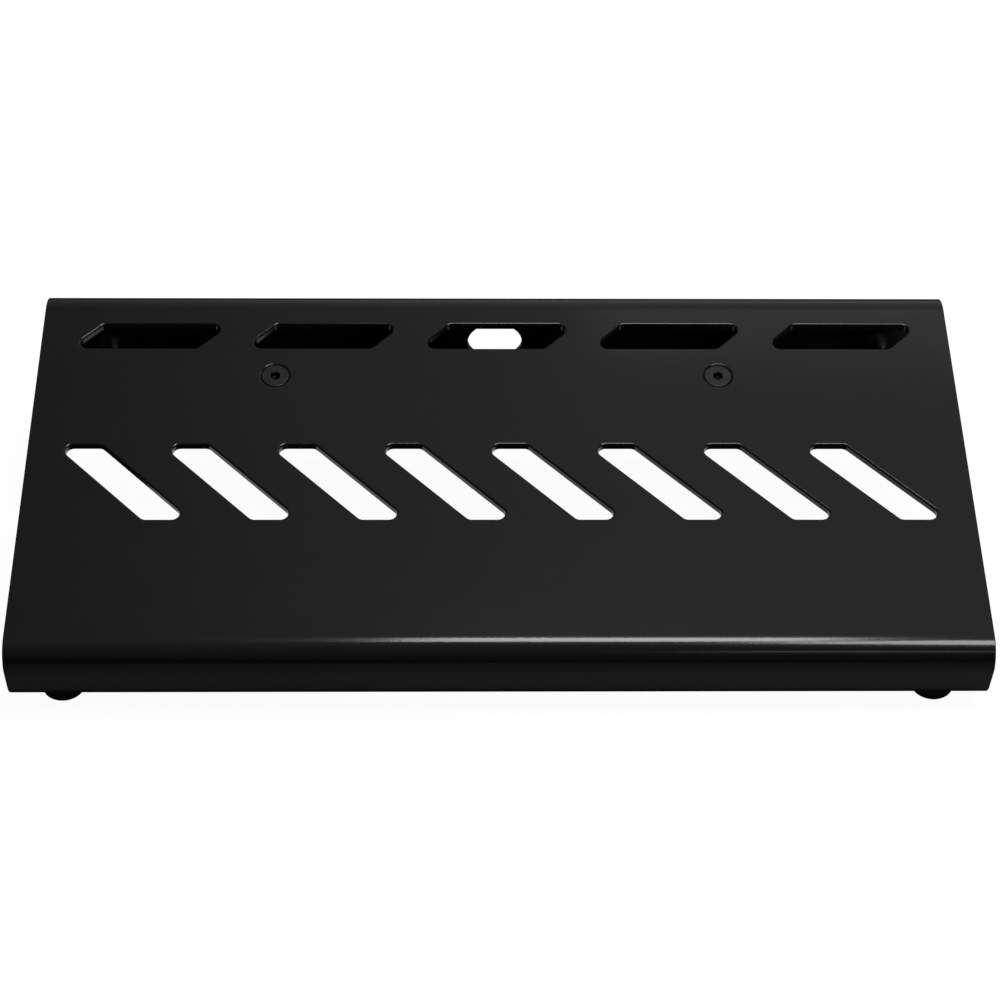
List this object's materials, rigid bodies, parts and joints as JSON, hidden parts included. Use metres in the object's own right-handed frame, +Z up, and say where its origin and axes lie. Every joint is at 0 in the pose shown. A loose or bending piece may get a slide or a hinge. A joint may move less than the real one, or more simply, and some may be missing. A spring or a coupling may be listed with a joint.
{
  "type": "pedalboard",
  "caption": "Sloping bent-sheet pedalboard with slanted cable slots, a rear cable outlet, rubber feet and a slotted saddle bracket for a power supply under the deck.",
  "frame": {"origin": "on the floor under the middle of the board, at the foot bottoms", "axes": "+X to the player's right along the front edge, +Y to the rear, where the deck is higher, +Z up"},
  "size_m": [0.4, 0.2066, 0.0712],
  "materials": {
    "deck_coat": "satin black coat on aluminium sheet",
    "bracket_coat": "satin black coat on steel strip",
    "pad_foam": "black closed-cell foam",
    "black_steel": "black oxide steel",
    "foot_rubber": "matt black rubber",
    "zinc_steel": "bright zinc plate"
  },
  "bodies": {
    "deck": {"bracket_nut_left": "zinc_steel", "bracket_nut_right": "zinc_steel", "bracket_screw_left": "black_steel", "bracket_screw_right": "black_steel", "bracket_spring_washer_left": "zinc_steel", "bracket_spring_washer_right": "zinc_steel", "bracket_washer_left": "zinc_steel", "bracket_washer_right": "zinc_steel", "deck": "deck_coat", "foot_cup_washer_front_left": "zinc_steel", "foot_cup_washer_front_right": "zinc_steel", "foot_cup_washer_rear_left": "zinc_steel", "foot_cup_washer_rear_right": "zinc_steel", "foot_front_left": "foot_rubber", "foot_front_right": "foot_rubber", "foot_nut_front_left": "zinc_steel", "foot_nut_front_right": "zinc_steel", "foot_nut_rear_left": "zinc_steel", "foot_nut_rear_right": "zinc_steel", "foot_rear_left": "foot_rubber", "foot_rear_right": "foot_rubber", "foot_screw_front_left": "zinc_steel", "foot_screw_front_right": "zinc_steel", "foot_screw_rear_left": "zinc_steel", "foot_screw_rear_right": "zinc_steel", "foot_washer_front_left": "zinc_steel", "foot_washer_front_right": "zinc_steel", "foot_washer_rear_left": "zinc_steel", "foot_washer_rear_right": "zinc_steel"},
    "bracket": {"power_bracket": "bracket_coat", "bracket_pad": "pad_foam"}
  },
  "joints": [
    {"name": "bracket_slide", "type": "slide", "parent": "deck", "child": "bracket", "axis": [0, 0.9848, 0.1736], "range_m": [-0.007, 0.007]}
  ]
}
